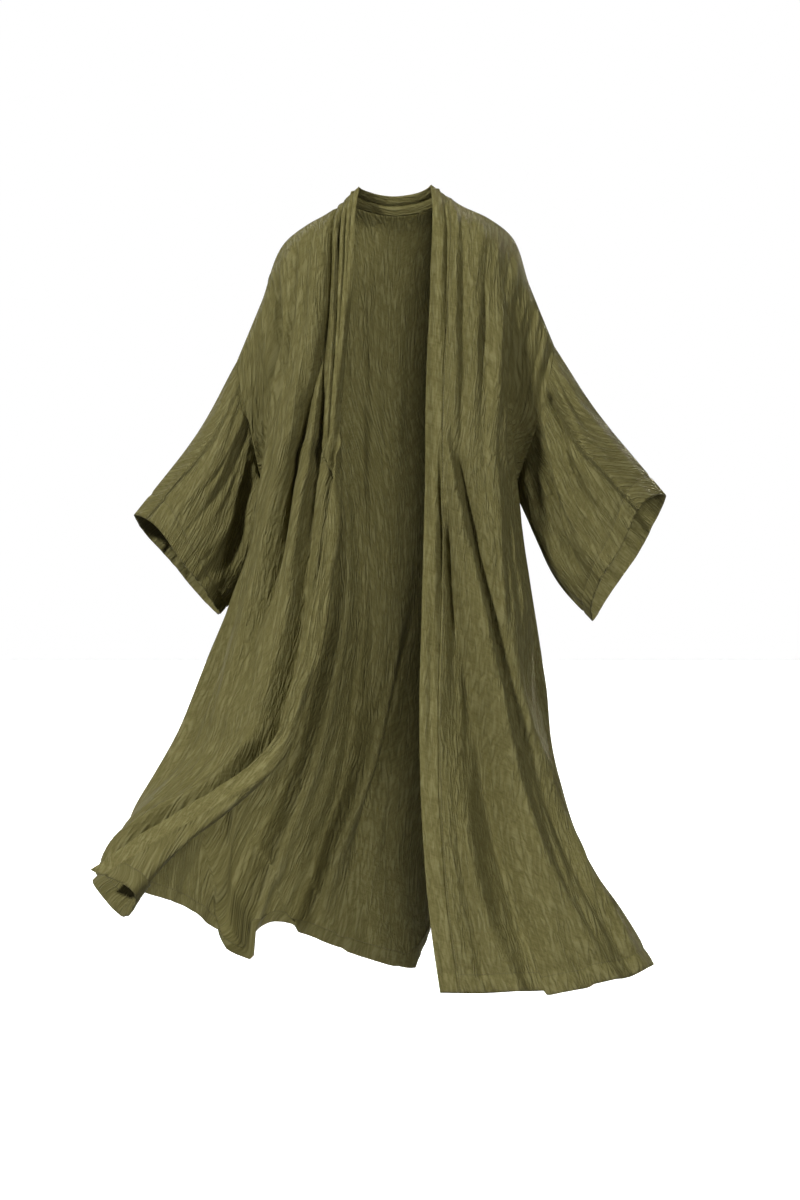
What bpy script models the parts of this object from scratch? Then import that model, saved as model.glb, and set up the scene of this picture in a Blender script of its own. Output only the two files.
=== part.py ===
"""Kimono jacket: a long open-front duster of crinkled gauze, filled out as worn and blown to one side.

Every panel is a sheet worked out from a table of sections, one row for each level of the garment, and
given its wall by Solidify. Metres, +Z up, the front faces -Y. The origin is the base of the neck on the
line of the shoulders. Right and left are as seen from the front, so right is +X.
"""
import bpy
import numpy as np

MM = 0.001

# Driving sizes, in millimetres
WALL = 1.3              # cloth
BAND_WALL = 2.4         # the neckband is doubled
SEAM_GAP = 0.75         # an edge steps back this much from a seam where two pieces meet at an angle
BAND_GAP = 0.45         # and this much where the band runs on from a panel
ARMHOLE_GAP = 0.9       # the sleeve at the top of the armhole
UNDERARM_GAP = 5.0      # and at the underarm, where it turns back along the body
COLLAR_GAP = 2.2        # the neckband, where it turns the corner at the shoulder
LAYER_GAP = 0.95        # between a panel and the hem turned up inside it
BAND_WIDTH = 29.0
HEM_DEPTH = 20.0
CUFF_HEM_DEPTH = 30.0
HEM_END = 7.0           # a turned hem stops this short of the seams

# Cells of the sheets
ARMHOLE_CELLS = 9       # shoulder to underarm
SKIRT_CELLS = 15        # underarm to the top of the hem
BAND_CELLS = 2
FRONT_CELLS = 14        # neckband seam to side seam
NECK_CELLS = 8          # across the back neck
SLEEVE_CELLS = 8        # armhole to the top of the cuff hem
FINE_STEPS = 160        # steps that measure a curve's length
SHOULDER_SHARE = 0.39   # of the back's width, taken by each shoulder
NECK_ROWS = 4           # rows over which the back takes up the line of shoulders and neck
SLEEVE_LEAD = 2         # stations repeated before the first, to close a sleeve's ring smoothly
WELD = 0.01             # points this near are one, where a ring closes

CLOTH_COLOUR = (0.142, 0.127, 0.045, 1.0)
CLOTH_ROUGHNESS = 0.85

# Sections of the body, in millimetres. One row for each level, (x, y, z) at each named station.
LEVELS = ("shoulder", "crown", "yoke", "chest", "underarm", "waist", "hip", "knee", "shin", "hem")
UNDERARM = LEVELS.index("underarm")

# Stations of a front: edge, inner, mid, outer, tuck, side
FRONT_RIGHT = {
    "shoulder": ((57, -2, 43), (106, 0, 10), (150, -1, -11),
                 (183, 0, -36), (215, 2, -118), (255, 2, -216)),
    "crown": ((60, -32, 8), (104, -38, -14), (148, -38, -32),
              (181, -28, -60), (214, -14, -134), (254, -8, -230)),
    "yoke": ((55, -74, -104), (97, -82, -110), (142, -78, -122),
             (180, -56, -150), (212, -24, -196), (248, -18, -260)),
    "chest": ((47, -104, -268), (94, -112, -270), (142, -106, -276),
              (181, -78, -288), (188, -34, -312), (226, -18, -345)),
    "underarm": ((45, -112, -428), (92, -120, -428), (142, -112, -432),
                 (190, -74, -438), (196, -24, -446), (192, 18, -455)),
    "waist": ((43, -116, -622), (90, -124, -622), (144, -116, -622),
              (200, -80, -622), (222, -26, -622), (206, 32, -622)),
    "hip": ((39, -126, -800), (88, -133, -800), (148, -127, -800),
            (208, -88, -798), (238, -30, -795), (228, 38, -790)),
    "knee": ((45, -140, -1010), (96, -147, -1010), (168, -143, -1010),
             (240, -110, -1008), (288, -52, -1004), (286, 22, -1000)),
    "shin": ((56, -147, -1130), (112, -155, -1130), (188, -154, -1126),
             (272, -128, -1120), (338, -74, -1110), (346, 2, -1105)),
    "hem": ((71, -152, -1240), (134, -162, -1240), (214, -164, -1235),
            (304, -142, -1228), (382, -94, -1214), (410, -14, -1195)),
}
FRONT_LEFT = {
    "shoulder": ((-57, -2, 40), (-104, 0, 0), (-142, -1, -22),
                 (-171, 0, -44), (-214, 2, -146), (-253, 2, -240)),
    "crown": ((-62, -32, 8), (-104, -38, -20), (-146, -38, -42),
              (-176, -28, -72), (-214, -14, -162), (-252, -8, -254)),
    "yoke": ((-66, -74, -106), (-106, -82, -114), (-148, -78, -128),
             (-182, -56, -164), (-214, -24, -222), (-247, -18, -285)),
    "chest": ((-79, -104, -262), (-120, -112, -268), (-160, -106, -278),
              (-192, -78, -292), (-194, -34, -322), (-228, -18, -366)),
    "underarm": ((-98, -126, -428), (-88, -117, -430), (-176, -112, -436),
                 (-216, -76, -444), (-214, -26, -456), (-212, 18, -469)),
    "waist": ((-128, -150, -618), (-107, -141, -622), (-202, -120, -620),
              (-242, -84, -614), (-248, -30, -608), (-228, 30, -610)),
    "hip": ((-160, -184, -750), (-137, -174, -758), (-232, -146, -778),
            (-284, -102, -782), (-308, -38, -780), (-290, 28, -775)),
    "knee": ((-234, -214, -884), (-212, -216, -898), (-290, -166, -912),
             (-344, -116, -902), (-376, -52, -900), (-368, 4, -912)),
    "shin": ((-360, -226, -966), (-326, -254, -996), (-384, -190, -1006),
             (-426, -138, -990), (-430, -64, -988), (-392, 0, -1010)),
    "hem": ((-476, -224, -1043), (-408, -264, -1076), (-424, -204, -1118),
            (-480, -156, -1060), (-452, -70, -1060), (-402, -8, -1088)),
}

# Stations of the back: side, outer, mid and inner on the right, centre, then inner to side on the left
BACK = {
    "shoulder": ((255, 2, -216), (186, 1, -38), (126, 2, 0), (72, 2, 28), (-2, 60, -4),
                 (-72, 2, 26), (-120, 2, -10), (-171, 1, -44), (-253, 2, -240)),
    "crown": ((254, 12, -230), (190, 36, -64), (130, 46, -26), (72, 54, -4), (-2, 84, -26),
              (-72, 54, -4), (-126, 46, -36), (-178, 36, -70), (-252, 12, -254)),
    "yoke": ((248, 28, -260), (196, 68, -140), (136, 94, -120), (70, 104, -112), (-2, 107, -116),
             (-74, 104, -112), (-138, 94, -124), (-190, 68, -150), (-247, 28, -285)),
    "chest": ((226, 42, -345), (184, 92, -296), (132, 114, -278), (66, 122, -272), (-4, 120, -272),
              (-74, 120, -272), (-140, 112, -280), (-190, 90, -300), (-228, 42, -366)),
    "underarm": ((192, 18, -455), (176, 88, -444), (128, 118, -436), (62, 126, -432), (-8, 122, -432),
                 (-80, 122, -432), (-146, 114, -438), (-198, 86, -450), (-212, 18, -469)),
    "waist": ((206, 32, -622), (184, 100, -624), (128, 130, -626), (58, 132, -626), (-16, 126, -626),
              (-90, 124, -626), (-158, 112, -622), (-212, 82, -616), (-228, 30, -610)),
    "hip": ((228, 38, -790), (198, 128, -796), (132, 168, -800), (54, 166, -804), (-32, 142, -806),
            (-116, 130, -804), (-190, 116, -796), (-256, 82, -786), (-290, 28, -775)),
    "knee": ((286, 22, -1000), (216, 168, -1000), (126, 218, -1000), (42, 190, -1008), (-62, 128, -1010),
             (-164, 118, -1002), (-250, 98, -988), (-324, 58, -956), (-368, 4, -912)),
    "shin": ((346, 2, -1105), (236, 192, -1088), (104, 246, -1050), (32, 182, -1114), (-74, 116, -1102),
             (-178, 112, -1075), (-258, 80, -1086), (-336, 48, -1042), (-392, 0, -1010)),
    "hem": ((410, -14, -1195), (250, 212, -1150), (84, 262, -1076), (26, 160, -1212), (-86, 104, -1180),
            (-192, 104, -1140), (-256, 70, -1160), (-345, 44, -1110), (-402, -8, -1088)),
}

# Sections of the sleeves past the armhole. Stations round from the top fold by the front: top, front high,
# front mid, front low, bottom, back low, back mid, back high
SLEEVE_RIGHT = {
    "mid": ((331, 8, -330), (312, -40, -352), (286, -50, -440), (268, -8, -530),
            (256, 40, -588), (268, 78, -526), (294, 84, -440), (318, 54, -354)),
    "cuff": ((434, 12, -454), (396, -44, -466), (357, -58, -542), (322, -34, -602),
             (314, 22, -657), (347, 66, -610), (390, 72, -548), (424, 48, -482)),
}
SLEEVE_LEFT = {
    "mid": ((-328, 8, -371), (-306, -38, -392), (-288, -46, -462), (-268, -6, -548),
            (-252, 42, -600), (-266, 78, -546), (-294, 82, -466), (-314, 52, -400)),
    "cuff": ((-418, 10, -485), (-378, -46, -506), (-338, -56, -562), (-298, -34, -610),
             (-284, 20, -643), (-320, 60, -608), (-364, 66, -556), (-406, 44, -508)),
}

# The neckband across the back neck, between the two shoulder ends
NECK_SEAM = ((64, 32, 10), (-1, 60, -3), (-64, 32, 10))
NECK_TOP = ((50, 20, 38), (37, 36, 33), (21, 45, 30), (-1, 50, 28),
            (-24, 45, 30), (-42, 32, 34), (-52, 18, 37))

# Largest folds. Each row has the share of the panel's width, from the band or from the back's right side,
# where the fold starts and where it meets the hem, the share of the length where it starts and ends, its
# half width and height (a trough is negative), and how much lower its hem hangs, in millimetres.
FOLDS = {
    "front_right": (
        (0.12, 0.53, 0.42, 1.0, 28, -26, 0),
        (0.25, 0.74, 0.40, 1.0, 18, 10, 3),
        (0.33, 0.80, 0.40, 1.0, 16, -10, 0),
        (0.78, 0.90, 0.50, 1.0, 15, 3, 4),
        (0.22, 0.16, 0.04, 0.44, 12, 5, 0),
    ),
    "front_left": (
        (0.13, 0.16, 0.06, 0.50, 12, -9, 0),
        (0.34, 0.40, 0.15, 0.62, 20, 6, 0),
        (0.60, 0.64, 0.10, 0.55, 14, -12, 0),
        (0.72, 0.74, 0.45, 0.95, 18, 7, 0),
    ),
    "back": (
        (0.20, 0.20, 0.40, 1.0, 22, -12, 0),
        (0.28, 0.31, 0.40, 1.0, 24, 14, 0),
        (0.36, 0.40, 0.40, 1.0, 24, -13, 0),
        (0.40, 0.66, 0.42, 1.0, 18, 16, 0),
        (0.46, 0.725, 0.50, 1.0, 18, -15, 8),
        (0.585, 0.765, 0.44, 1.0, 17, 14, -4),
        (0.635, 0.845, 0.30, 1.0, 22, -24, 38),
        (0.66, 0.885, 0.46, 1.0, 16, 12, 0),
    ),
}
FOLD_BEND = 1.8         # a fold's path leans over more towards the hem
FOLD_RISE = 0.14        # share of the length over which a fold starts or dies away
SEAM_FADE = 0.09        # share of the width over which folds die away at a seam
DROP_START = 0.72       # share of the length where a fold's hem starts to hang lower


def table(sections):
    """Rows of sections in millimetres as an array in metres, level by station by axis."""
    return np.array([sections[name] for name in sections], dtype=float) * MM


def knots_of(points):
    """Share of the mean distance along the first axis at which each row lies."""
    steps = np.linalg.norm(np.diff(points, axis=0), axis=-1)
    steps = steps.reshape(len(steps), -1).mean(axis=1)
    lengths = np.concatenate(([0.0], np.cumsum(steps)))
    return lengths / lengths[-1]


def smooth(points, knots, at):
    """Cubic curve through points along the first axis, read at the given places."""
    slopes = np.gradient(points, knots, axis=0)
    left = np.clip(np.searchsorted(knots, at, side="right") - 1, 0, len(knots) - 2)
    shape = (-1,) + (1,) * (points.ndim - 1)
    gap = (knots[left + 1] - knots[left]).reshape(shape)
    part = (at - knots[left]).reshape(shape) / gap
    keep = 1 - part
    return (keep**2 * (1 + 2 * part) * points[left] + keep**2 * part * gap * slopes[left]
            + part**2 * (3 - 2 * part) * points[left + 1] - part**2 * keep * gap * slopes[left + 1])


def spread(points, places):
    """Points along a smooth curve. places turns the curve's length into distances along it."""
    fine = smooth(points, knots_of(points), np.linspace(0, 1, FINE_STEPS + 1))
    lengths = np.concatenate(([0.0], np.cumsum(np.linalg.norm(np.diff(fine, axis=0), axis=1))))
    wanted = places(lengths[-1])
    return np.stack([np.interp(wanted, lengths, fine[:, axis]) for axis in range(3)], axis=1)


def ease(value):
    """Soft step from 0 to 1."""
    value = np.clip(value, 0, 1)
    return value * value * (3 - 2 * value)


def normals_of(grid, side):
    """Unit normals of a grid of points, out of the cloth's face for the right side."""
    normal = np.cross(np.gradient(grid, axis=0), np.gradient(grid, axis=1)) * side
    return normal / np.linalg.norm(normal, axis=2, keepdims=True)


def front_places(length):
    """Columns of a front: the band at its own width, then the panel in even cells."""
    band = np.linspace(0, BAND_WIDTH * MM, BAND_CELLS + 1)
    return np.concatenate((band, np.linspace(band[-1], length, FRONT_CELLS + 1)[1:]))


def back_places(length):
    """Columns of the back: as many on each shoulder as a front has, and the neck between them."""
    shoulder = SHOULDER_SHARE * length
    right = np.linspace(0, shoulder, FRONT_CELLS + 1)
    neck = np.linspace(shoulder, length - shoulder, NECK_CELLS + 1)
    left = np.linspace(length - shoulder, length, FRONT_CELLS + 1)
    return np.concatenate((right, neck[1:], left[1:]))


def sheet(sections, knots, levels, places):
    """Grid of points over a table of sections, levels down and columns across."""
    lines = smooth(table(sections), knots, levels)
    return np.array([spread(line, places) for line in lines])


def add_folds(grid, name, side, levels):
    """Push a panel's points out along its face where the table puts ridges and troughs."""
    widths = np.linalg.norm(np.diff(grid, axis=1), axis=2)
    lengths = np.concatenate((np.zeros((len(grid), 1)), np.cumsum(widths, axis=1)), axis=1)
    share = lengths / lengths[:, -1:]
    push = np.zeros(share.shape)
    fall = np.zeros(share.shape)
    for across_start, across_hem, start, end, width, height, drop in FOLDS[name]:
        lean = np.clip((levels - start) / (1 - start), 0, 1) ** FOLD_BEND
        centre = across_start + (across_hem - across_start) * lean
        reach = (share - centre[:, None]) * lengths[:, -1:] / (width * MM)
        along = ease((levels - start) / FOLD_RISE)
        if end < 1:
            along = along * ease((end - levels) / FOLD_RISE)
        shape = np.exp(-reach**2)
        push += height * MM * shape * along[:, None]
        fall += drop * MM * shape * ease((levels - DROP_START) / (1 - DROP_START))[:, None]
    fade = ease(share / SEAM_FADE) * ease((1 - share) / SEAM_FADE)
    moved = grid + normals_of(grid, side) * (push * fade)[:, :, None]
    moved[:, :, 2] -= fall * fade
    return moved


def pull_back(grid, axis, end, gap):
    """Step one edge of a grid back from its seam, along the cloth."""
    rows = np.moveaxis(grid, axis, 0)
    edge, inside = (0, 1) if end == "first" else (-1, -2)
    way = rows[inside] - rows[edge]
    rows[edge] += way / np.linalg.norm(way, axis=-1, keepdims=True) * gap * MM


def seam_turn(grid, column):
    """How sharply the cloth turns at a column: the tangent of half the angle, one value for each row."""
    before = grid[:, column] - grid[:, column - 1]
    after = grid[:, column + 1] - grid[:, column]
    lengths = np.linalg.norm(before, axis=1) * np.linalg.norm(after, axis=1)
    cosine = (before * after).sum(axis=1) / lengths
    return np.sqrt((1 - cosine) / (1 + cosine))[:, None]


def shift_column(grid, column, target, fade):
    """Move one column onto a seam, the shift dying away across the panel."""
    grid += (target - grid[:, column])[:, None] * fade[None, :, None]


def cloth_material(name):
    """Olive gauze for one piece."""
    material = bpy.data.materials.new(name)
    material.use_nodes = True
    shader = material.node_tree.nodes["Principled BSDF"]
    shader.inputs["Base Color"].default_value = CLOTH_COLOUR
    shader.inputs["Roughness"].default_value = CLOTH_ROUGHNESS
    shader.inputs["Metallic"].default_value = 0.0
    return material


def add_piece(collection, name, grid, side, wall):
    """One sewn piece: an open sheet with its wall from Solidify."""
    rows, columns = grid.shape[:2]
    corners = np.arange(rows * columns).reshape(rows, columns)
    quads = np.stack((corners[:-1, :-1], corners[1:, :-1], corners[1:, 1:], corners[:-1, 1:]), axis=-1)
    quads = quads.reshape(-1, 4)
    if side < 0:
        quads = quads[:, ::-1]
    mesh = bpy.data.meshes.new(name)
    mesh.from_pydata(grid.reshape(-1, 3).tolist(), [], quads.tolist())
    mesh.shade_smooth()
    mesh.materials.append(cloth_material(name))
    piece = bpy.data.objects.new(name, mesh)
    collection.objects.link(piece)
    solidify = piece.modifiers.new("wall", "SOLIDIFY")
    solidify.thickness = wall * MM
    solidify.offset = 0.0
    return piece


def add_tube(collection, name, grid, side, wall):
    """A sewn tube: the grid's columns close into rings."""
    closed = np.concatenate((grid, grid[:, :1]), axis=1)
    piece = add_piece(collection, name, closed, side, wall)
    weld = piece.modifiers.new("close", "WELD")
    weld.merge_threshold = WELD * MM
    piece.modifiers.move(1, 0)
    return piece


def sleeve_grid(front_edge, back_edge, sections):
    """Rings of a sleeve from the armhole to the cuff. The first row is the armhole itself."""
    armhole = np.concatenate((front_edge, back_edge[-2:0:-1]))
    half = len(front_edge) - 1
    rings = [armhole]
    for stations in table(sections):
        looped = np.concatenate((stations[-SLEEVE_LEAD:], stations, stations[:SLEEVE_LEAD + 1]))
        knots = knots_of(looped)
        top = knots[SLEEVE_LEAD]
        bottom = knots[SLEEVE_LEAD + len(stations) // 2]
        last = knots[SLEEVE_LEAD + len(stations)]
        front = np.linspace(top, bottom, half + 1)
        back = np.linspace(bottom, last, half + 1)[1:-1]
        around = np.concatenate((front, back))
        rings.append(smooth(looped, knots, around))
    rings = np.array(rings)
    knots = knots_of(rings)
    length = np.linalg.norm(np.diff(rings, axis=0), axis=2).mean(axis=1).sum()
    cuff = 1 - CUFF_HEM_DEPTH * MM / length
    return smooth(rings, knots, np.concatenate((np.linspace(0, cuff, SLEEVE_CELLS + 1), [1.0])))


def turned_hem(grid, side, gap_ends):
    """The hem turned up inside a panel: its last row of cells moved in, short of the seams."""
    strip = (grid - normals_of(grid, side) * (WALL + LAYER_GAP) * MM)[-2:].copy()
    for end in gap_ends:
        pull_back(strip, 1, end, HEM_END)
    return strip


def build():
    """All the pieces of the jacket, in their collection."""
    for old in list(bpy.data.objects):
        bpy.data.objects.remove(old, do_unlink=True)
    jacket = bpy.data.collections.new("kimono_jacket")
    bpy.context.scene.collection.children.link(jacket)

    knots = knots_of(table(BACK))
    drop = np.linalg.norm(np.diff(table(BACK), axis=0), axis=2).mean(axis=1).sum()
    hem_top = 1 - HEM_DEPTH * MM / drop
    levels = np.concatenate((np.linspace(0, knots[UNDERARM], ARMHOLE_CELLS + 1),
                             np.linspace(knots[UNDERARM], hem_top, SKIRT_CELLS + 1)[1:], [1.0]))
    right = add_folds(sheet(FRONT_RIGHT, knots, levels, front_places), "front_right", 1, levels)
    left = add_folds(sheet(FRONT_LEFT, knots, levels, front_places), "front_left", -1, levels)
    back = add_folds(sheet(BACK, knots, levels, back_places), "back", 1, levels)

    # The back meets both fronts along the side seams, the shoulders and the neck
    columns = np.linspace(0, 1, back.shape[1])
    for front, column, fade in ((right, 0, ease(1 - columns / SEAM_FADE)),
                                (left, -1, ease(1 - (1 - columns) / SEAM_FADE))):
        seam = back[:, column].copy()
        seam[ARMHOLE_CELLS:] = front[ARMHOLE_CELLS:, -1]
        shift_column(back, column, seam, fade)
    neck = np.concatenate((right[:1, BAND_CELLS], np.array(NECK_SEAM) * MM, left[:1, BAND_CELLS]))
    neck_row = spread(neck, lambda length: np.linspace(0, length, NECK_CELLS + 1))
    top_row = np.concatenate((right[0, :BAND_CELLS:-1], neck_row, left[0, BAND_CELLS + 1:]))
    back += (top_row - back[0])[None] * ease(1 - levels / levels[NECK_ROWS])[:, None, None]

    # Sleeves start from the armhole edges before those step back
    armhole = slice(0, ARMHOLE_CELLS + 1)
    for name, front, back_edge, sections, side in (("right", right, back[armhole, 0], SLEEVE_RIGHT, -1),
                                                   ("left", left, back[armhole, -1], SLEEVE_LEFT, 1)):
        grid = sleeve_grid(front[armhole, -1], back_edge, sections)
        low = 0.5 - 0.5 * np.cos(np.linspace(0, 2 * np.pi, grid.shape[1], endpoint=False))
        pull_back(grid, 0, "first", (ARMHOLE_GAP + (UNDERARM_GAP - ARMHOLE_GAP) * low)[:, None])
        add_tube(jacket, "sleeve_" + name, grid, side, WALL)
        add_tube(jacket, "cuff_hem_" + name, turned_hem(grid, side, ()), side, WALL)

    # Band round the neck, from the shoulder ends of the two front bands
    top = np.concatenate((right[:1, 0], np.array(NECK_TOP) * MM, left[:1, 0]))
    top_edge = spread(top, lambda length: np.linspace(0, length, NECK_CELLS + 1))
    rises = np.linspace(1, 0, BAND_CELLS + 1)
    collar = np.stack([neck_row + (top_edge - neck_row) * rise for rise in rises])
    pull_back(collar, 0, "last", BAND_GAP)
    pull_back(collar, 1, "first", COLLAR_GAP)
    pull_back(collar, 1, "last", COLLAR_GAP)
    add_piece(jacket, "band_neck", collar, 1, BAND_WALL)

    for name, grid, side in (("right", right, 1), ("left", left, -1)):
        band = grid[:, :BAND_CELLS + 1].copy()
        panel = grid[:, BAND_CELLS:].copy()
        for piece in (band, panel):
            pull_back(piece, 0, "first", SEAM_GAP)
        # Where the cloth rolls over at the seam, the two edges clear each other's walls as well
        gap = BAND_GAP + BAND_WALL / 2 * seam_turn(grid, BAND_CELLS)
        pull_back(band, 1, "last", gap)
        pull_back(panel, 1, "first", gap)
        pull_back(panel, 1, "last", SEAM_GAP)
        add_piece(jacket, "band_" + name, band, side, BAND_WALL)
        add_piece(jacket, "front_" + name, panel, side, WALL)
        add_piece(jacket, "hem_" + name, turned_hem(panel, side, ("first", "last")), side, WALL)
    pull_back(back, 0, "first", SEAM_GAP)
    pull_back(back, 1, "first", SEAM_GAP)
    pull_back(back, 1, "last", SEAM_GAP)
    add_piece(jacket, "back", back, 1, WALL)
    add_piece(jacket, "hem_back", turned_hem(back, 1, ("first", "last")), 1, WALL)


build()
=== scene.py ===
"""Looks of the kimono jacket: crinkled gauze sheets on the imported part's form, a pale floor and soft light.

The body's sections are the part's own tables, in millimetres, read here at a finer step, and finer folds,
crinkles, seams, hems and stitches are laid on them. Right and left are as seen from the front.
"""
import math

import bpy
import numpy as np
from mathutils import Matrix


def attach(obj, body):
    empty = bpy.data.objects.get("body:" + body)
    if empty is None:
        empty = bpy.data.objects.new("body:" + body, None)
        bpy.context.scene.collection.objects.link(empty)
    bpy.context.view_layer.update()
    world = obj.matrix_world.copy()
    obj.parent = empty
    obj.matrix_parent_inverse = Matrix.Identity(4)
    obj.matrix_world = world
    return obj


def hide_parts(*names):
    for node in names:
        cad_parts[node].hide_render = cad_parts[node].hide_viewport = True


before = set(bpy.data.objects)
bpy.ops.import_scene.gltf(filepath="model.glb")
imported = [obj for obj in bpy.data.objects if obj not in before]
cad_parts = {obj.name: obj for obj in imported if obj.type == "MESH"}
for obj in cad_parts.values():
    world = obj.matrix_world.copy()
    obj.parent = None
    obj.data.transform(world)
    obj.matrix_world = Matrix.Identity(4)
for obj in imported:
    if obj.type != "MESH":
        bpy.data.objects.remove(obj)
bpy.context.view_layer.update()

MM = 0.001
TINY = 1e-9

# Driving sizes, in millimetres
WALL = 1.1
BAND_WALL = 2.2
LAYER_GAP = 0.35
BAND_WIDTH = 29.0
HEM_DEPTH = 20.0
CUFF_HEM_DEPTH = 30.0

# Cells of the sheets
ARMHOLE_CELLS = 78
SKIRT_CELLS = 140
HEM_CELLS = 6
BAND_CELLS = 14
FRONT_CELLS = 84
FRONT_GRADING = 1.2
NECK_CELLS = 30
SLEEVE_CELLS = 76
CUFF_CELLS = 9
FINE_STEPS = 400

# Photograph: height in pixels, size of a pixel at the jacket in millimetres, the lens's distance, what it
# points at and how far it sees in metres, and the sensor's height in millimetres
PHOTO_HEIGHT = 1200
PIXEL = 1.6
LENS_DISTANCE = 10.0
AIM = (0.008, 0.0, -0.6208)
CLIP_END = 200.0
SENSOR = 24.0

# Floor and ambient light
FLOOR_LEVEL = -1.5
FLOOR_REACH = 80.0
FLOOR_COLOR = (0.9, 0.9, 0.9, 1)
FLOOR_ROUGHNESS = 0.9
FLOOR_GLOW = 0.7
WHITE = (1, 1, 1, 1)
AMBIENT = 0.06
AMBIENT_COLOR = (1.0, 0.93, 0.6, 1)

# Lights: name, turn to the right, height, strength and softness, with angles in degrees
LIGHTS = (("left", -38, 32, 3.15, 6), ("right", 38, 26, 1.15, 16),
          ("rear_left", -155, 24, 1.2, 16), ("rear_right", 145, 32, 2.2, 10))
INSIDE_LIGHT = ("inside", 7, 0, 4.0, 24)
INSIDE_PIECES = ("back_cloth", "hem_back_cloth", "back_stitches", "cuff_hem_right_cloth")

# Sections of the body. One row for each level, (x, y, z) at each station across it.
LEVELS = ("shoulder", "crown", "yoke", "chest", "underarm", "waist", "hip", "knee", "shin", "hem")
UNDERARM = LEVELS.index("underarm")

# Stations of a front: edge, inner, mid, outer, tuck, side
FRONT_RIGHT = {
    "shoulder": ((57, -2, 43), (106, 0, 10), (150, -1, -11),
                 (183, 0, -36), (215, 2, -118), (255, 2, -216)),
    "crown": ((60, -32, 8), (104, -38, -14), (148, -38, -32),
              (181, -28, -60), (214, -14, -134), (254, -8, -230)),
    "yoke": ((55, -74, -104), (97, -82, -110), (142, -78, -122),
             (180, -56, -150), (212, -24, -196), (248, -18, -260)),
    "chest": ((47, -104, -268), (94, -112, -270), (142, -106, -276),
              (181, -78, -288), (188, -34, -312), (226, -18, -345)),
    "underarm": ((45, -112, -428), (92, -120, -428), (142, -112, -432),
                 (190, -74, -438), (196, -24, -446), (192, 18, -455)),
    "waist": ((43, -116, -622), (90, -124, -622), (144, -116, -622),
              (200, -80, -622), (222, -26, -622), (206, 32, -622)),
    "hip": ((39, -126, -800), (88, -133, -800), (148, -127, -800),
            (208, -88, -798), (238, -30, -795), (228, 38, -790)),
    "knee": ((45, -140, -1010), (96, -147, -1010), (168, -143, -1010),
             (240, -110, -1008), (288, -52, -1004), (286, 22, -1000)),
    "shin": ((56, -147, -1130), (112, -155, -1130), (188, -154, -1126),
             (272, -128, -1120), (338, -74, -1110), (346, 2, -1105)),
    "hem": ((71, -152, -1240), (134, -162, -1240), (214, -164, -1235),
            (304, -142, -1228), (382, -94, -1214), (410, -14, -1195)),
}
FRONT_LEFT = {
    "shoulder": ((-57, -2, 40), (-104, 0, 0), (-142, -1, -22),
                 (-171, 0, -44), (-214, 2, -146), (-253, 2, -240)),
    "crown": ((-62, -32, 8), (-104, -38, -20), (-146, -38, -42),
              (-176, -28, -72), (-214, -14, -162), (-252, -8, -254)),
    "yoke": ((-66, -74, -106), (-106, -82, -114), (-148, -78, -128),
             (-182, -56, -164), (-214, -24, -222), (-247, -18, -285)),
    "chest": ((-79, -104, -262), (-120, -112, -268), (-160, -106, -278),
              (-192, -78, -292), (-194, -34, -322), (-228, -18, -366)),
    "underarm": ((-98, -126, -428), (-88, -117, -430), (-176, -112, -436),
                 (-216, -76, -444), (-214, -26, -456), (-212, 18, -469)),
    "waist": ((-128, -150, -618), (-107, -141, -622), (-202, -120, -620),
              (-242, -84, -614), (-248, -30, -608), (-228, 30, -610)),
    "hip": ((-160, -184, -750), (-137, -174, -758), (-232, -146, -778),
            (-284, -102, -782), (-308, -38, -780), (-290, 28, -775)),
    "knee": ((-234, -214, -884), (-212, -216, -898), (-290, -166, -912),
             (-344, -116, -902), (-376, -52, -900), (-368, 4, -912)),
    "shin": ((-360, -226, -966), (-326, -254, -996), (-384, -190, -1006),
             (-426, -138, -990), (-430, -64, -988), (-392, 0, -1010)),
    "hem": ((-476, -224, -1043), (-408, -264, -1076), (-424, -204, -1118),
            (-480, -156, -1060), (-452, -70, -1060), (-402, -8, -1088)),
}

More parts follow.
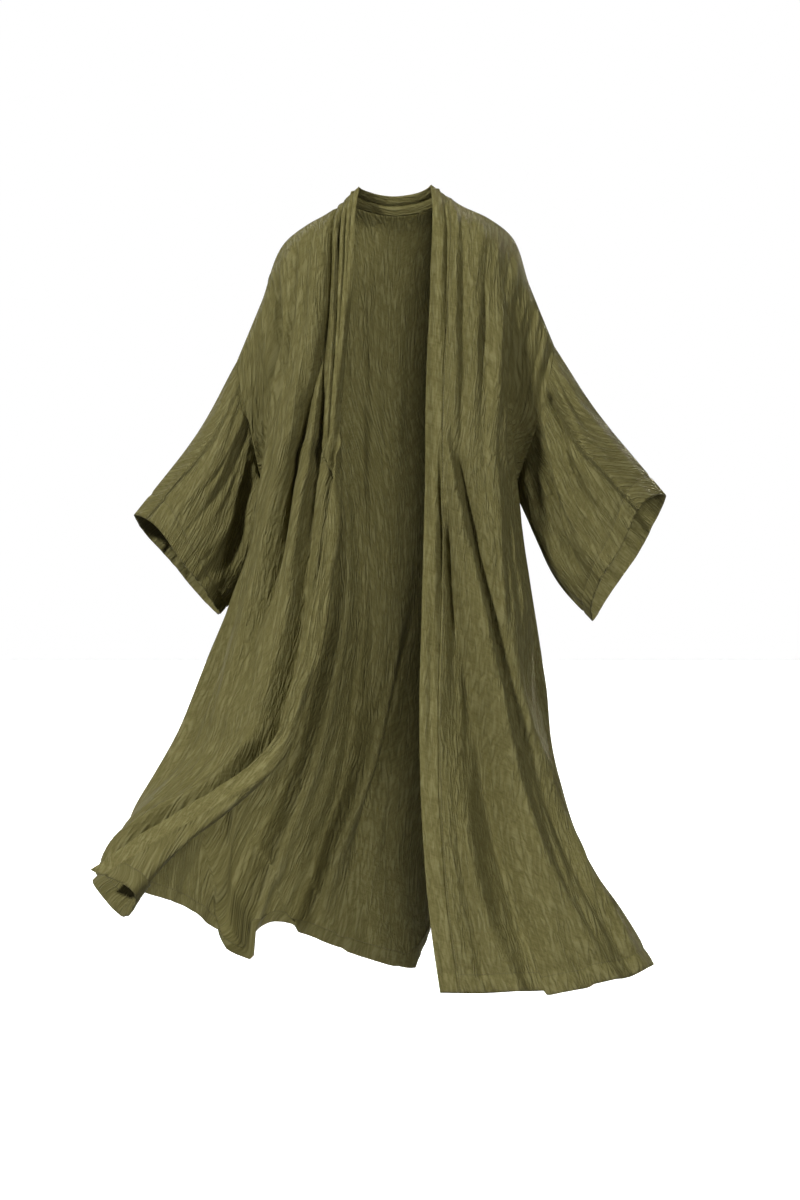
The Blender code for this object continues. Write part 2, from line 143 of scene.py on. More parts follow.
# Stations of the back: side, outer, mid and inner right, centre, then inner, mid, outer and side left
BACK = {
    "shoulder": ((255, 2, -216), (186, 1, -38), (126, 2, 0), (72, 2, 28), (-2, 60, -4),
                 (-72, 2, 26), (-120, 2, -10), (-171, 1, -44), (-253, 2, -240)),
    "crown": ((254, 12, -230), (190, 36, -64), (130, 46, -26), (72, 54, -4), (-2, 84, -26),
              (-72, 54, -4), (-126, 46, -36), (-178, 36, -70), (-252, 12, -254)),
    "yoke": ((248, 28, -260), (196, 68, -140), (136, 94, -120), (70, 104, -112), (-2, 107, -116),
             (-74, 104, -112), (-138, 94, -124), (-190, 68, -150), (-247, 28, -285)),
    "chest": ((226, 42, -345), (184, 92, -296), (132, 114, -278), (66, 122, -272), (-4, 120, -272),
              (-74, 120, -272), (-140, 112, -280), (-190, 90, -300), (-228, 42, -366)),
    "underarm": ((192, 18, -455), (176, 88, -444), (128, 118, -436), (62, 126, -432), (-8, 122, -432),
                 (-80, 122, -432), (-146, 114, -438), (-198, 86, -450), (-212, 18, -469)),
    "waist": ((206, 32, -622), (184, 100, -624), (128, 130, -626), (58, 132, -626), (-16, 126, -626),
              (-90, 124, -626), (-158, 112, -622), (-212, 82, -616), (-228, 30, -610)),
    "hip": ((228, 38, -790), (198, 128, -796), (132, 168, -800), (54, 166, -804), (-32, 142, -806),
            (-116, 130, -804), (-190, 116, -796), (-256, 82, -786), (-290, 28, -775)),
    "knee": ((286, 22, -1000), (216, 168, -1000), (126, 218, -1000), (42, 190, -1008), (-62, 128, -1010),
             (-164, 118, -1002), (-250, 98, -988), (-324, 58, -956), (-368, 4, -912)),
    "shin": ((346, 2, -1105), (236, 192, -1088), (104, 246, -1050), (32, 182, -1114), (-74, 116, -1102),
             (-178, 112, -1075), (-258, 80, -1086), (-336, 48, -1042), (-392, 0, -1010)),
    "hem": ((410, -14, -1195), (250, 212, -1150), (84, 262, -1076), (26, 160, -1212), (-86, 104, -1180),
            (-192, 104, -1140), (-256, 70, -1160), (-345, 44, -1110), (-402, -8, -1088)),
}

# Sections of the sleeves past the armhole. Stations round from the top fold: top, front high, mid and low,
# bottom, then back low, mid and high. Curves round a sleeve run on past its ends by a lap of stations.
SLEEVE_RIGHT = {
    "mid": ((331, 8, -330), (312, -40, -352), (286, -50, -440), (268, -8, -530),
            (256, 40, -588), (268, 78, -526), (294, 84, -440), (318, 54, -354)),
    "cuff": ((434, 12, -454), (396, -44, -466), (357, -58, -542), (322, -34, -602),
             (314, 22, -657), (347, 66, -610), (390, 72, -548), (424, 48, -482)),
}
SLEEVE_LEFT = {
    "mid": ((-328, 8, -371), (-306, -38, -392), (-288, -46, -462), (-268, -6, -548),
            (-252, 42, -600), (-266, 78, -546), (-294, 82, -466), (-314, 52, -400)),
    "cuff": ((-418, 10, -485), (-378, -46, -506), (-338, -56, -562), (-298, -34, -610),
             (-284, 20, -643), (-320, 60, -608), (-364, 66, -556), (-406, 44, -508)),
}
STATION_LAP = 2

# Seam of the neckband round the back neck, and its top edge
NECK_SEAM = ((64, 32, 10), (-1, 60, -3), (-64, 32, 10))
NECK_TOP = ((50, 20, 38), (37, 36, 33), (21, 45, 30), (-1, 50, 28),
            (-24, 45, 30), (-42, 32, 34), (-52, 18, 37))

# Folds. Each has a skew, the share by which it is wider on its far side and narrower on its near one, and a
# path down its panel. A point of the path has the share of the length, the share of the width there, and
# the half width and height in millimetres. Shares of the left front's width count from where its
# turned-back edge lies over it. Outward is positive, so a ridge on the inside of the back is negative.
FOLDS = {
    "front_right": (
        (0.0, ((0.00, 0.072, 4, -5), (0.08, 0.083, 4, -6), (0.14, 0.100, 4, -5), (0.20, 0.108, 5, -3),
               (0.27, 0.11, 6, 0))),
        (0.0, ((0.04, 0.000, 9, 0), (0.15, 0.000, 11, -8), (0.32, 0.000, 12, -10), (0.42, 0.000, 10, -6),
               (0.52, 0.000, 8, 0))),
        (0.0, ((0.32, 0.104, 3.5, 0), (0.37, 0.100, 3.5, -8), (0.46, 0.094, 3.5, -8), (0.53, 0.090, 4, -3),
               (0.68, 0.088, 4, 0))),
        (-0.20, ((0.40, 0.140, 6, 0), (0.45, 0.150, 8, -13), (0.52, 0.175, 14, -18),
                 (0.60, 0.215, 22, -24), (0.69, 0.275, 30, -29), (0.74, 0.310, 34, -31),
                 (0.85, 0.360, 38, -32), (0.93, 0.380, 38, -28), (1.00, 0.400, 36, -17))),
        (-0.3, ((0.28, 0.140, 6, 0), (0.33, 0.167, 7, 4), (0.39, 0.213, 8, 7), (0.44, 0.263, 9, 9),
                (0.54, 0.335, 10, 10), (0.66, 0.405, 12, 10), (0.78, 0.480, 13, 10), (0.87, 0.545, 14, 9),
                (0.95, 0.620, 16, 7), (1.00, 0.680, 18, 6))),
        (-0.3, ((0.30, 0.190, 6, 0), (0.35, 0.245, 9, -9), (0.44, 0.318, 13, -14), (0.59, 0.430, 12, -8),
                (0.69, 0.530, 10, -3), (0.77, 0.610, 10, -3), (0.84, 0.660, 11, -4), (0.92, 0.720, 12, -4),
                (1.00, 0.790, 13, -3))),
        (0.0, ((0.22, 0.400, 12, 0), (0.34, 0.428, 13, 6), (0.49, 0.440, 14, 6), (0.65, 0.530, 14, 5),
               (0.77, 0.680, 13, 6), (0.90, 0.780, 14, 6), (1.00, 0.850, 16, 5))),
        (0.0, ((0.80, 0.152, 5, 0), (0.87, 0.158, 6, -5), (0.95, 0.172, 7, -6), (1.00, 0.185, 8, -5))),
        (0.0, ((0.80, 0.195, 8, 0), (0.90, 0.225, 10, 5), (1.00, 0.300, 14, 6))),
        (0.0, ((0.00, 0.115, 4, 3), (0.09, 0.143, 5, 4), (0.17, 0.170, 6, 4), (0.28, 0.180, 7, 0))),
        (0.0, ((0.03, 0.160, 4, 0), (0.10, 0.185, 5, -4), (0.21, 0.235, 7, -6), (0.31, 0.250, 7, -5),
               (0.38, 0.260, 7, 0))),
        (0.0, ((0.05, 0.300, 6, 0), (0.10, 0.318, 7, -4), (0.18, 0.365, 8, -6), (0.28, 0.392, 8, -4),
               (0.36, 0.400, 8, 0))),
        (0.0, ((0.06, 0.400, 8, 0), (0.15, 0.450, 10, 5), (0.24, 0.480, 11, 6), (0.34, 0.500, 10, 0))),
        (-0.3, ((0.08, 0.560, 8, 0), (0.18, 0.640, 12, -7), (0.30, 0.670, 13, -10), (0.40, 0.660, 13, -7),
                (0.52, 0.650, 12, 0))),
        (0.0, ((0.45, 0.800, 10, 0), (0.60, 0.820, 12, 2), (0.80, 0.860, 13, 3), (1.00, 0.910, 14, 4))),
        (0.0, ((0.40, 0.720, 9, 0), (0.56, 0.745, 10, -4), (0.70, 0.790, 11, -4), (0.86, 0.820, 12, -4),
               (1.00, 0.860, 12, -3))),
    ),
    "front_left": (
        (0.5, ((0.00, 0.135, 3.5, -6), (0.05, 0.127, 4, -8), (0.16, 0.128, 5, -10), (0.25, 0.131, 7, -12),
               (0.33, 0.110, 9, -13), (0.406, 0.085, 11, -13), (0.459, 0.065, 12, -14),
               (0.541, 0.045, 14, -16), (0.60, 0.045, 15, -17), (0.69, 0.045, 15, -18),
               (0.77, 0.055, 15, -20), (0.82, 0.105, 15, -22), (0.87, 0.185, 15, -22),
               (0.92, 0.280, 15, -19), (1.00, 0.360, 16, -12))),
        (0.0, ((0.70, 0.160, 12, 0), (0.77, 0.195, 13, 7), (0.82, 0.235, 13, 7), (0.87, 0.315, 13, 7),
               (0.92, 0.410, 13, 6), (1.00, 0.490, 14, 4))),
        (0.0, ((0.00, 0.100, 2.8, -4), (0.07, 0.087, 3, -5), (0.16, 0.086, 3.2, -6),
               (0.25, 0.079, 3.5, -5), (0.33, 0.074, 3.5, -4), (0.42, 0.070, 4, 0))),
        (0.0, ((0.00, 0.070, 2.6, -3), (0.06, 0.056, 2.6, -5), (0.12, 0.058, 2.8, -5),
               (0.18, 0.055, 3, -4), (0.27, 0.045, 3, 0))),
        (0.0, ((0.00, 0.036, 2.4, -3), (0.06, 0.030, 2.4, -4), (0.10, 0.036, 2.6, -3),
               (0.17, 0.030, 2.6, 0))),
        (0.0, ((0.05, 0.000, 7, 0), (0.18, 0.000, 8, -8), (0.32, 0.000, 8, -9), (0.41, 0.000, 7, 0))),
        (0.2, ((0.14, 0.145, 4, 0), (0.203, 0.168, 6, -7), (0.288, 0.238, 9, -13), (0.346, 0.270, 11, -17),
               (0.404, 0.287, 12, -18), (0.451, 0.290, 12, -17), (0.491, 0.298, 12, -15),
               (0.529, 0.317, 12, -12), (0.569, 0.343, 13, -9), (0.70, 0.380, 14, 0))),
        (0.0, ((0.18, 0.160, 7, 0), (0.29, 0.183, 9, 6), (0.39, 0.190, 10, 7), (0.461, 0.168, 11, 7),
               (0.551, 0.155, 12, 6), (0.62, 0.170, 13, 4), (0.72, 0.180, 14, 0))),
        (0.0, ((0.06, 0.230, 8, 0), (0.13, 0.240, 10, 5), (0.20, 0.275, 13, 7), (0.29, 0.345, 14, 7),
               (0.39, 0.385, 15, 7), (0.51, 0.410, 16, 6), (0.61, 0.440, 18, 5), (0.74, 0.460, 18, 0))),
        (0.0, ((0.03, 0.330, 7, 0), (0.09, 0.370, 8, -5), (0.16, 0.430, 9, -7), (0.24, 0.490, 10, -6),
               (0.34, 0.520, 10, 0))),
        (0.3, ((0.04, 0.470, 7, 0), (0.10, 0.530, 10, -14), (0.18, 0.610, 12, -20), (0.29, 0.650, 13, -22),
               (0.38, 0.640, 13, -14), (0.52, 0.640, 12, 0))),
        (0.0, ((0.40, 0.560, 10, 0), (0.52, 0.600, 12, -5), (0.66, 0.640, 13, -6), (0.80, 0.660, 13, -5),
               (0.94, 0.680, 13, 0))),
        (0.0, ((0.45, 0.720, 10, 0), (0.60, 0.740, 14, 6), (0.78, 0.760, 15, 7), (0.92, 0.790, 14, 5),
               (1.00, 0.800, 13, 4))),
        (0.0, ((0.55, 0.860, 9, 0), (0.70, 0.870, 10, -5), (0.85, 0.880, 11, -5), (1.00, 0.900, 12, -3))),
    ),
    "back": (
        (0.0, ((0.20, 0.640, 7, 0), (0.30, 0.637, 9, -6), (0.43, 0.632, 12, -11), (0.57, 0.645, 15, -15),
               (0.70, 0.664, 18, -18), (0.80, 0.682, 20, -20), (0.85, 0.707, 21, -21),
               (0.91, 0.752, 22, -22), (0.96, 0.797, 22, -22), (1.00, 0.832, 22, -22))),
        (0.0, ((0.46, 0.660, 9, 0), (0.57, 0.678, 12, 10), (0.64, 0.695, 14, 13), (0.76, 0.718, 16, 14),
               (0.83, 0.740, 17, 14), (0.88, 0.776, 17, 13), (0.92, 0.811, 17, 12), (1.00, 0.876, 17, 9))),
        (0.0, ((0.44, 0.585, 9, 0), (0.57, 0.582, 12, 10), (0.69, 0.585, 15, 16), (0.78, 0.594, 17, 19),
               (0.85, 0.636, 17, 19), (0.93, 0.698, 17, 16), (1.00, 0.765, 17, 11))),
        (0.0, ((0.52, 0.460, 10, 0), (0.62, 0.497, 14, -14), (0.69, 0.526, 16, -19),
               (0.75, 0.544, 17, -21), (0.82, 0.578, 18, -20), (0.87, 0.614, 18, -18),
               (0.93, 0.666, 18, -14), (1.00, 0.725, 18, -9))),
        (0.0, ((0.42, 0.395, 11, 0), (0.52, 0.418, 15, 16), (0.60, 0.445, 17, 23), (0.66, 0.466, 18, 26),
               (0.71, 0.482, 18, 26), (0.77, 0.510, 18, 22), (0.82, 0.541, 18, 16), (0.90, 0.600, 18, 7),
               (0.96, 0.655, 18, 0))),
        (0.0, ((0.76, 0.765, 8, 0), (0.85, 0.812, 9, -6), (0.90, 0.842, 10, -6), (1.00, 0.905, 11, -5))),
        (0.0, ((0.76, 0.800, 8, 0), (0.85, 0.845, 9, 5), (0.92, 0.890, 10, 5), (1.00, 0.940, 10, 3))),
        (0.0, ((0.24, 0.579, 5, 0), (0.31, 0.579, 5, 4), (0.38, 0.582, 6, 3), (0.46, 0.592, 6, 0))),
        (0.0, ((0.05, 0.530, 10, 0), (0.16, 0.545, 11, -4), (0.30, 0.548, 12, -4), (0.45, 0.536, 12, 0))),
        (0.0, ((0.04, 0.462, 8, 0), (0.17, 0.447, 10, 4), (0.30, 0.444, 11, 5), (0.44, 0.452, 11, 0))),
        (0.0, ((0.30, 0.360, 12, 0), (0.48, 0.350, 16, -8), (0.70, 0.370, 20, -12), (0.88, 0.390, 22, -13),
               (1.00, 0.400, 24, -12))),
        (0.0, ((0.32, 0.285, 12, 0), (0.50, 0.270, 16, 9), (0.70, 0.275, 20, 13), (0.88, 0.300, 22, 14),
               (1.00, 0.310, 24, 14))),
        (0.0, ((0.36, 0.215, 12, 0), (0.52, 0.195, 15, -7), (0.72, 0.180, 18, -11), (0.90, 0.190, 20, -12),
               (1.00, 0.200, 22, -10))),
        (0.0, ((0.40, 0.130, 11, 0), (0.56, 0.110, 13, 7), (0.74, 0.095, 16, 9), (0.90, 0.090, 18, 10),
               (1.00, 0.095, 20, 9))),
        (0.0, ((0.06, 0.360, 9, 0), (0.14, 0.330, 11, 5), (0.26, 0.300, 12, 6), (0.38, 0.270, 12, 0))),
        (0.0, ((0.07, 0.290, 8, 0), (0.15, 0.250, 10, -5), (0.25, 0.215, 11, -6), (0.35, 0.180, 11, 0))),
        (0.0, ((0.06, 0.660, 8, 0), (0.14, 0.690, 10, 5), (0.24, 0.715, 11, 5), (0.36, 0.730, 11, 0))),
        (0.0, ((0.07, 0.730, 8, 0), (0.15, 0.770, 10, -5), (0.25, 0.800, 11, -6), (0.36, 0.810, 11, 0))),
        (0.0, ((0.08, 0.140, 8, 0), (0.17, 0.110, 9, 6), (0.28, 0.095, 10, 7), (0.40, 0.085, 10, 0))),
        (0.0, ((0.08, 0.860, 8, 0), (0.17, 0.890, 9, 6), (0.28, 0.905, 10, 7), (0.42, 0.900, 10, 0))),
    ),
    "sleeve_right": (
        (0.0, ((0.00, 0.08, 9, 3), (0.30, 0.11, 11, 5), (0.70, 0.15, 12, 5), (0.95, 0.17, 12, 0))),
        (0.0, ((0.00, 0.15, 8, -4), (0.30, 0.18, 9, -6), (0.60, 0.22, 10, -6), (0.85, 0.25, 10, 0))),
        (0.0, ((0.00, 0.21, 9, 4), (0.30, 0.25, 10, 7), (0.60, 0.30, 11, 6), (0.90, 0.34, 11, 0))),
        (0.0, ((0.02, 0.40, 24, 6), (0.25, 0.42, 28, 14), (0.50, 0.43, 28, 12), (0.80, 0.44, 24, 5),
               (1.00, 0.45, 20, 0))),
        (0.0, ((0.00, 0.28, 8, -5), (0.30, 0.32, 9, -7), (0.60, 0.37, 10, -6), (0.80, 0.40, 10, 0))),
        (0.0, ((0.05, 0.62, 10, 0), (0.40, 0.63, 13, -6), (0.80, 0.64, 14, 0))),
        (0.0, ((0.05, 0.74, 12, 0), (0.40, 0.73, 15, 7), (0.90, 0.72, 16, 3))),
        (0.0, ((0.05, 0.85, 9, 0), (0.40, 0.85, 11, -6), (0.80, 0.84, 12, 0))),
    ),
    "sleeve_left": (
        (0.0, ((0.00, 0.10, 9, 2), (0.30, 0.12, 11, 3), (0.70, 0.14, 12, 2), (0.95, 0.15, 12, 0))),
        (0.0, ((0.00, 0.18, 10, -2), (0.30, 0.20, 12, -4), (0.60, 0.22, 13, -3), (0.90, 0.23, 13, 0))),
        (0.0, ((0.00, 0.25, 10, 2), (0.30, 0.28, 12, 3), (0.60, 0.32, 13, 2), (0.90, 0.35, 13, 0))),
        (0.0, ((0.02, 0.40, 24, 8), (0.25, 0.42, 28, 18), (0.50, 0.43, 28, 15), (0.80, 0.44, 24, 6),
               (1.00, 0.45, 20, 0))),
        (0.0, ((0.02, 0.34, 10, -1), (0.30, 0.37, 12, -2), (0.60, 0.40, 12, -2), (0.80, 0.42, 12, 0))),
        (0.0, ((0.05, 0.60, 10, 0), (0.40, 0.61, 13, -6), (0.80, 0.62, 14, 0))),
        (0.0, ((0.05, 0.72, 12, 0), (0.40, 0.73, 15, 7), (0.90, 0.74, 16, 3))),
        (0.0, ((0.05, 0.85, 9, 0), (0.40, 0.84, 11, -6), (0.80, 0.83, 12, 0))),
    ),
}

# All folds are this many times as high as their tables say
FOLD_GAIN = 1.75

# Share of the folds' height left along the shoulders, and share of the length in which the rest comes in
TOP_SHARE = 0.25
TOP_FADE = 0.05

# Shares over which folds fade out: at side seams and shoulders, at an armhole, at a sleeve's top fold
SEAM_FADE = 0.035
ARMHOLE_FADE = 0.08
SLEEVE_TOP_FADE = 0.05

# Share of a front's columns in which its edge may roll back, and rows each way that even out the roll
TURN_SHARE = 0.45
TURN_ROWS = 5

# Shares of the back: the columns of each shoulder, and how far in it is moved to meet its seams
SHOULDER_SHARE = 0.39
SIDE_BLEND = 0.09
TOP_BLEND = 0.12

# Stretches of hem that hang lower, one row each: share of the width, half width on the near and the far
# side, drop on the near and the far side in millimetres, and how square the ends are. They start at a share
# of the length, and are cut off a few half widths away.
DROPS = {
    "front_right": ((0.47, 24, 50, 9, 4, 20), (0.90, 16, 16, 4, 4, 2)),
    "back": ((0.560, 6, 45, 15, 2, 2), (0.640, 60, 41, 3, 8, 24), (0.715, 50, 39, 3, 11, 24),
             (0.845, 22, 20, 48, 22, 14)),
}
DROP_START = 0.72
DROP_REACH = 3

# Crinkles in the cloth itself: pitch across and along the warp, and height, in millimetres
CRINKLES = ((34, 260, 2.6), (16, 150, 1.9), (8, 70, 1.3))
LATTICE_MARGIN = 3
CRINKLE_SEEDS = {"front_right": 110, "front_left": 120, "back": 130,
                 "sleeve_right": 250, "sleeve_left": 260}

# Above this share of the length the weave of fronts and back hangs straight, blending into the panel below
STRAIGHT_UNTIL = 0.20
STRAIGHT_BLEND = 0.22
STRAIGHT_PITCH = 1.1

# How far the crinkles of the back lean with its folds, as (share of the length, share of the width), and
# the shares of the width over which the lean grows from each side
LEAN = ((0.57, 0.0), (0.70, 0.020), (0.80, 0.040), (0.85, 0.063),
        (0.91, 0.107), (0.96, 0.150), (1.00, 0.187))
LEAN_SHARES = (0.5, 0.14)

# Line along each sleeve where its crinkles meet, as a share of the way round, how far those above and below
# it turn away from it by the cuff, in degrees, its softness in millimetres, and how unlike the two sides are
CHEVRON = {"right": 0.15, "left": 0.09}
CHEVRON_TURNS = (36, 10)
CHEVRON_SOFT = 5.0
CHEVRON_SHIFT = 0.4

# Numbers in the weave that set pieces apart, and what bands and hems add to those of their panels
WEAVES = {"front_right": 1, "front_left": 2, "back": 3, "band_neck": 4, "sleeve_right": 5, "sleeve_left": 6}
BAND_WEAVE = (0, 0, 5)
HEM_WEAVE = (0, 0, 9)

# Material slot of each piece, by the first word of its name, and the wall of each slot in millimetres
SLOTS = {"back": "gauze", "front": "gauze", "sleeve": "gauze", "band": "band", "hem": "hem", "cuff": "hem"}
WALLS = {"gauze": WALL, "band": BAND_WALL, "hem": WALL}

# Pressed lines: depth in millimetres and half width in cells
HEM_PRESS = (1.7, 1.0)
CUFF_PRESS = (1.6, 1.0)
BAND_PRESS = (2.4, 0.9)

# Crease round the collar: row of cells, and depth and half width as for a pressed line, raised if negative
COLLAR_CREASE_ROW = 7
COLLAR_CREASE = (-3.0, 1.2)

# Stitches, in millimetres, and how far their lines lie from the middle of the cloth, on its face and its hem
STITCH_PITCH = 4.6
STITCH_LENGTH = 3.2
STITCH_WIDTH = 0.8
STITCH_RISE = 0.15
STITCH_FACES = ((0, 1, 2, 3), (7, 6, 5, 4), (0, 4, 5, 1), (1, 5, 6, 2), (2, 6, 7, 3), (3, 7, 4, 0))
STITCH_CORNERS = 8
BAND_STITCH_COLUMN = 2
FACE_LIFT = WALL / 2 + STITCH_RISE
HEM_LIFT = -(WALL / 2 + WALL + LAYER_GAP + STITCH_RISE)

# Colours, linear, and the places on the colour ramp of its two ends and its middle. The deep end is painted
# shade in the crinkles' grooves and the light end painted light on their ridges, over the cloth's own olive
# tone.
OLIVE = (0.142, 0.127, 0.045)
OLIVE_PAINTED_SHADE_AND_THREAD = (0.082, 0.071, 0.019)
OLIVE_PAINTED_LIGHT_AND_TONE = (0.202, 0.184, 0.078)
RAMP_ENDS = ((0.22, OLIVE_PAINTED_SHADE_AND_THREAD), (0.72, OLIVE_PAINTED_LIGHT_AND_TONE))
RAMP_MIDDLE = (0.45, OLIVE)

# Cloth of each slot: tint of its colour, and depth of its crinkles in millimetres
CLOTHS = {"gauze": (1.0, 3.3), "band": (1.05, 1.8), "hem": (0.9, 1.6)}
CLOTH_ROUGHNESS = 0.82
CLOTH_SPECULAR = 0.15
THREAD_ROUGHNESS = 0.7

# Patterns of the gauze: cells to the metre across and along the warp and from piece to piece, then detail,
# roughness and distortion. The fine one is turned into valleys, and they are mixed by weight.
PATTERNS = {
    "fine": ((170.0, 24.0, 7.0), 2.0, 0.5, 0.3),
    "broad": ((75.0, 6.0, 3.0), 2.0, 0.5, 0.3),
    "cross": ((230.0, 150.0, 5.0), 3.0, 0.7, 0.4),
    "slub": ((40.0, 330.0, 2.0), 1.0, 0.5, 0.0),
    "mottle": ((7.0, 4.0, 1.0), 2.0, 0.5, 0.0),
}
NOISE_MIDDLE = 0.5
VALLEY_GAIN = 6.0
# Weights of the colour: fine, broad and cross are the relief's crinkles too, so their grooves get painted
# shade and their ridges painted light; slub and mottle are the cloth's own tone
PAINTED_SHADE_AND_TONE_MIX = {"fine": 0.26, "broad": 0.10, "cross": 0.32, "slub": 0.20, "mottle": 0.12}
RELIEF_MIX = {"fine": 0.50, "broad": 0.20, "cross": 0.40}


def table(sections):
    """Rows of sections in millimetres as an array in metres, level by station by axis."""
    return np.array([sections[name] for name in sections], dtype=float) * MM


def knots_of(points):
    """Share of the mean distance along the first axis at which each row lies."""
    steps = np.linalg.norm(np.diff(points, axis=0), axis=-1)
    steps = steps.reshape(len(steps), -1).mean(axis=1)
    lengths = np.concatenate(([0.0], np.cumsum(steps)))
    return lengths / lengths[-1]


def mean_length(points):
    """Mean distance from the first row of a grid of points to its last."""
    return np.linalg.norm(np.diff(points, axis=0), axis=2).mean(axis=1).sum()


def smooth(points, knots, at):
    """Cubic curve through points along the first axis, read at the given places."""
    slopes = np.gradient(points, knots, axis=0)
    left = np.clip(np.searchsorted(knots, at, side="right") - 1, 0, len(knots) - 2)
    shape = (-1,) + (1,) * (points.ndim - 1)
    gap = (knots[left + 1] - knots[left]).reshape(shape)
    part = (at - knots[left]).reshape(shape) / gap
    keep = 1 - part
    return (keep**2 * (1 + 2 * part) * points[left] + keep**2 * part * gap * slopes[left]
            + part**2 * (3 - 2 * part) * points[left + 1] - part**2 * keep * gap * slopes[left + 1])


def spread(points, places):
    """Points along a smooth curve. places turns the curve's length into distances along it."""
    fine = smooth(points, knots_of(points), np.linspace(0, 1, FINE_STEPS + 1))
    lengths = np.concatenate(([0.0], np.cumsum(np.linalg.norm(np.diff(fine, axis=0), axis=1))))
    wanted = places(lengths[-1])
    return np.stack([np.interp(wanted, lengths, fine[:, axis]) for axis in range(3)], axis=1)


def ease(value):
    """Soft step from 0 to 1."""
    value = np.clip(value, 0, 1)
    return value * value * (3 - 2 * value)


def unit(vectors):
    """The vectors at unit length."""
    return vectors / np.maximum(np.linalg.norm(vectors, axis=-1, keepdims=True), TINY)


def normals_of(grid, side):
    """Unit normals of a grid of points. side is 1 or -1, whichever turns them out of the cloth's face."""
    return unit(np.cross(np.gradient(grid, axis=0), np.gradient(grid, axis=1)) * side)


def front_places(length):
    """Columns of a front: the band at its own width, then the panel in cells that widen away from it."""
    band = np.linspace(0, BAND_WIDTH * MM, BAND_CELLS + 1)
    share = np.linspace(0, 1, FRONT_CELLS + 1)[1:] ** FRONT_GRADING
    return np.concatenate((band, band[-1] + (length - band[-1]) * share))


def back_places(length):
    """Columns of the back: as many on each shoulder as a front has, and the neck between them."""
    shoulder = SHOULDER_SHARE * length
    right = np.linspace(0, shoulder, FRONT_CELLS + 1)
    neck = np.linspace(shoulder, length - shoulder, NECK_CELLS + 1)
    left = np.linspace(length - shoulder, length, FRONT_CELLS + 1)
    return np.concatenate((right, neck[1:], left[1:]))


def neck_places(length):
    """Columns round the back neck."""
    return np.linspace(0, length, NECK_CELLS + 1)


def sheet_grid(sections, knots, levels, places):
    """Grid of points over a table of sections, levels down and columns across."""
    lines = smooth(table(sections), knots, levels)
    return np.array([spread(line, places) for line in lines])


def body_levels():
    """Shares of the body's length at its sections, and at the rows of its sheets."""
    sections = table(BACK)
    knots = knots_of(sections)
    hem_top = 1 - HEM_DEPTH * MM / mean_length(sections)
    levels = np.concatenate((np.linspace(0, knots[UNDERARM], ARMHOLE_CELLS + 1),
                             np.linspace(knots[UNDERARM], hem_top, SKIRT_CELLS + 1)[1:],
                             np.linspace(hem_top, 1, HEM_CELLS + 1)[1:]))
    return knots, levels


def sleeve_grid(front_edge, back_edge, sections):
    """Rings of a sleeve from the armhole to the cuff, with the share of its length at each ring."""
    armhole = np.concatenate((front_edge, back_edge[-2:0:-1]))
    half = len(front_edge) - 1
    rings = [armhole]
    for stations in table(sections):
        looped = np.concatenate((stations[-STATION_LAP:], stations, stations[:STATION_LAP + 1]))
        knots = knots_of(looped)
        # The top fold, the bottom half way round, and the top fold again
        top, bottom, last = knots[STATION_LAP::len(stations) // 2][:3]
        around = np.concatenate((np.linspace(top, bottom, half + 1),
                                 np.linspace(bottom, last, half + 1)[1:-1]))
        rings.append(smooth(looped, knots, around))
    rings = np.array(rings)
    cuff = 1 - CUFF_HEM_DEPTH * MM / mean_length(rings)
    levels = np.concatenate((np.linspace(0, cuff, SLEEVE_CELLS + 1),
                             np.linspace(cuff, 1, CUFF_CELLS + 1)[1:]))
    return smooth(rings, knots_of(rings), levels), levels


def distances(grid, axis):
    """Distance along the cloth from the grid's first row or column."""
    steps = np.linalg.norm(np.diff(grid, axis=axis), axis=2)
    total = np.cumsum(steps, axis=axis)
    first = np.zeros_like(np.take(total, [0], axis=axis))
    return np.concatenate((first, total), axis=axis)


def lattice_noise(across, along, seed):
    """Soft noise of unit height over two coordinates counted in pitches."""
    rng = np.random.default_rng(seed)
    rows = int(along.max()) + LATTICE_MARGIN
    columns = int(across.max()) + LATTICE_MARGIN
    values = rng.standard_normal((rows, columns))
    column, row = np.floor(across).astype(int), np.floor(along).astype(int)
    fx, fy = ease(across - column), ease(along - row)
    top = values[row, column] * (1 - fx) + values[row, column + 1] * fx
    low = values[row + 1, column] * (1 - fx) + values[row + 1, column + 1] * fx
    return top * (1 - fy) + low * fy


def turned_cloth(grid, side):
    """Width of cloth that a front's edge turns back over it: twice the way to the roll, row by row."""
    near = grid[:, :int(TURN_SHARE * grid.shape[1]), 0]
    roll = np.argmin(near * side, axis=1)
    turned = 2 * distances(grid, 1)[np.arange(len(grid)), roll]
    padded = np.pad(turned, TURN_ROWS, mode="edge")
    window = 2 * TURN_ROWS + 1
    return np.convolve(padded, np.ones(window) / window, mode="valid")[:, None]


def leaning(share, levels):
    """Shares of the back's width moved so that the crinkles run along its folds."""
    rows = np.array(LEAN)
    lean = np.interp(levels, rows[:, 0], rows[:, 1])[:, None]
    return share - lean * ease(share / LEAN_SHARES[0]) * ease((1 - share) / LEAN_SHARES[1])


def fold_push(name, across, levels):
    """How far the table's folds push each point of a sheet out."""
    width = across[:, -1:]
    push = np.zeros(across.shape)
    for skew, path in FOLDS[name]:
        rows = np.array(path)
        along = np.clip(levels, rows[0, 0], rows[-1, 0])
        centre = smooth(rows[:, 1], rows[:, 0], along)
        half = np.interp(along, rows[:, 0], rows[:, 2]) * MM
        height = np.interp(levels, rows[:, 0], rows[:, 3], left=0, right=0) * MM * FOLD_GAIN
        reach = (across - centre[:, None] * width) / half[:, None]
        reach = reach / (1 + skew * np.sign(reach))
        push += height[:, None] * np.exp(-reach**2)
    return push


